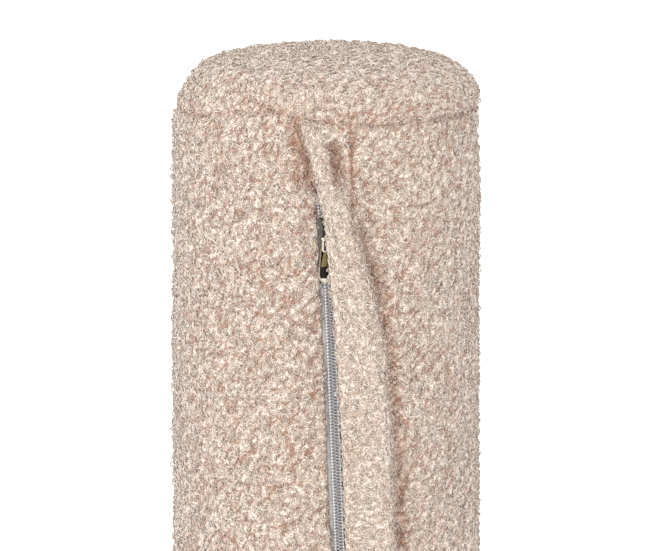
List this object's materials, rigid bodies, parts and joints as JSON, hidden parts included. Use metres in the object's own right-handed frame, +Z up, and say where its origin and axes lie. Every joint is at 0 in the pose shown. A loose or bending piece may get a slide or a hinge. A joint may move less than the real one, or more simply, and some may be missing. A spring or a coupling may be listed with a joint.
{
  "type": "bolster pillow",
  "caption": "Round bolster pillow with a looped boucle cover, a lapped zip down its side with a sliding puller, and a foam pad inside. Stands on one end or lies on its side.",
  "frame": {"origin": "centre of the flat bottom end that the pillow stands on", "axes": "+Z up along the pillow's axis, -Y out through the zip, +X to the right of the zip as it is seen from outside"},
  "size_m": [0.15, 0.1548, 0.5],
  "materials": {
    "boucle": "looped boucle, beige pink",
    "zip_tape": "woven polyester tape, light grey",
    "nylon_coil": "nylon monofilament, grey",
    "cotton_cord": "twisted filler cord",
    "sewing_thread": "spun polyester thread, white",
    "plated_zinc": "polished nickel plate on cast zinc",
    "spring_steel": "stamped spring steel",
    "calico": "plain calico",
    "wadding": "bonded polyester wadding",
    "foam": "polyurethane foam"
  },
  "bodies": {
    "cover": {"cover_tube_panel": "boucle", "cover_end_top": "boucle", "cover_end_bottom": "boucle", "zip_tape_left": "zip_tape", "zip_tape_right": "zip_tape", "zip_coil_left": "nylon_coil", "zip_coil_right": "nylon_coil", "zip_cord_left": "cotton_cord", "zip_cord_right": "cotton_cord", "zip_stitching_left": "sewing_thread", "zip_stitching_right": "sewing_thread", "zip_tack_top": "sewing_thread", "zip_tack_bottom": "sewing_thread", "inner_case_tube": "calico", "inner_case_end_top": "calico", "inner_case_end_bottom": "calico", "wadding_wrap": "wadding", "wadding_disc_top": "wadding", "wadding_disc_bottom": "wadding", "foam_core": "foam"},
    "flap": {"zip_flap": "boucle"},
    "slider": {"slider_body": "plated_zinc", "slider_cap": "plated_zinc"},
    "puller": {"puller": "plated_zinc"},
    "lock_pawl": {"lock_pawl": "spring_steel"}
  },
  "joints": [
    {"name": "flap_lift", "type": "hinge", "parent": "cover", "child": "flap", "pos_m": [0.02048, -0.07387, 0.25082], "axis": [-0.0401, 0, 0.9992], "range_deg": [0, 160]},
    {"name": "slider_travel", "type": "slide", "parent": "cover", "child": "slider", "axis": [0.0401, 0, -0.9992], "range_m": [-0.016, 0.366], "deforming": ["zip_tape_left", "zip_tape_right", "zip_coil_left", "zip_coil_right", "zip_cord_left", "zip_cord_right", "zip_stitching_left", "zip_stitching_right"]},
    {"name": "puller_swing", "type": "hinge", "parent": "slider", "child": "puller", "pos_m": [-0.0069, -0.07307, 0.42166], "axis": [-0.9999, 0, 0.0122], "range_deg": [0, 141]},
    {"name": "pawl_lift", "type": "slide", "parent": "slider", "child": "lock_pawl", "axis": [0, -1, 0], "range_m": [0, 0.00045]}
  ],
  "couplings": [
    {"joint": "puller_swing", "follows": "flap_lift", "ratio": 0.88},
    {"joint": "pawl_lift", "follows": "flap_lift", "m_per_rad": 0.00016}
  ]
}
